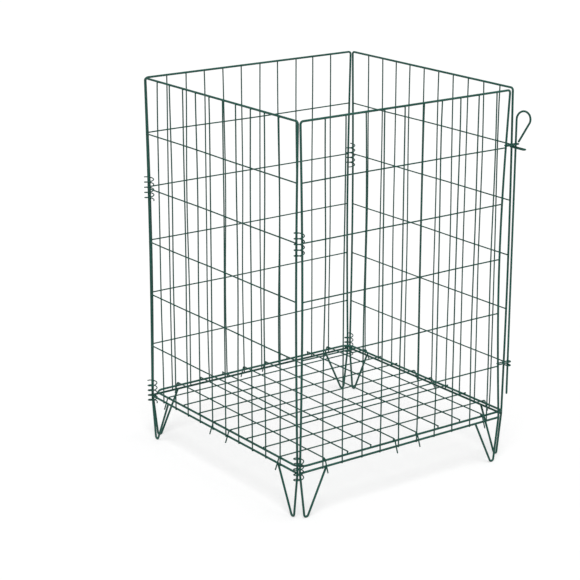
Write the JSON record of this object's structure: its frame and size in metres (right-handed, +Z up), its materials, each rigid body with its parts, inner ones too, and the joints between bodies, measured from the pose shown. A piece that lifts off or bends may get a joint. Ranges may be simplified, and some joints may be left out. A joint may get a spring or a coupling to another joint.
{
  "type": "wire compost bin",
  "caption": "Open-topped square garden bin of welded green wire panels, hinged by wire spirals, closed by a pull-out corner pin, with a hook-in wire floor.",
  "frame": {"origin": "on the ground, at the middle of the whole part's box as seen from above", "axes": "+Z up, -Y out of the front panel, +X out of the right panel; the locking pin is at the +X -Y corner"},
  "size_m": [0.489, 0.4952, 0.6799],
  "materials": {
    "green_coating": "satin dark green coating on steel wire",
    "green_coating_light_wire": "satin dark green coating on light steel wire"
  },
  "bodies": {
    "panels": {"front_panel_frame_wire": "green_coating", "front_panel_bottom_rail": "green_coating", "front_panel_mesh": "green_coating_light_wire", "right_panel_frame_wire": "green_coating", "right_panel_bottom_rail": "green_coating", "right_panel_mesh": "green_coating_light_wire", "back_panel_frame_wire": "green_coating", "back_panel_bottom_rail": "green_coating", "back_panel_mesh": "green_coating_light_wire", "left_panel_frame_wire": "green_coating", "left_panel_bottom_rail": "green_coating", "left_panel_mesh": "green_coating_light_wire", "front_panel_upper_eye": "green_coating_light_wire", "front_panel_lower_eye": "green_coating_light_wire", "right_panel_upper_eye": "green_coating_light_wire", "right_panel_lower_eye": "green_coating_light_wire", "front_left_upper_spiral": "green_coating_light_wire", "front_left_lower_spiral": "green_coating_light_wire", "back_left_upper_spiral": "green_coating_light_wire", "back_left_lower_spiral": "green_coating_light_wire", "back_right_upper_spiral": "green_coating_light_wire", "back_right_lower_spiral": "green_coating_light_wire"},
    "floor": {"floor_frame": "green_coating", "floor_grid": "green_coating_light_wire"},
    "pin": {"lock_pin": "green_coating"}
  },
  "joints": [
    {"name": "pin_lift", "type": "slide", "parent": "panels", "child": "pin", "axis": [0, 0, 1], "range_m": [0, 0.48]},
    {"name": "floor_lift", "type": "slide", "parent": "panels", "child": "floor", "axis": [0, 0, 1], "range_m": [0, 0.08]}
  ]
}
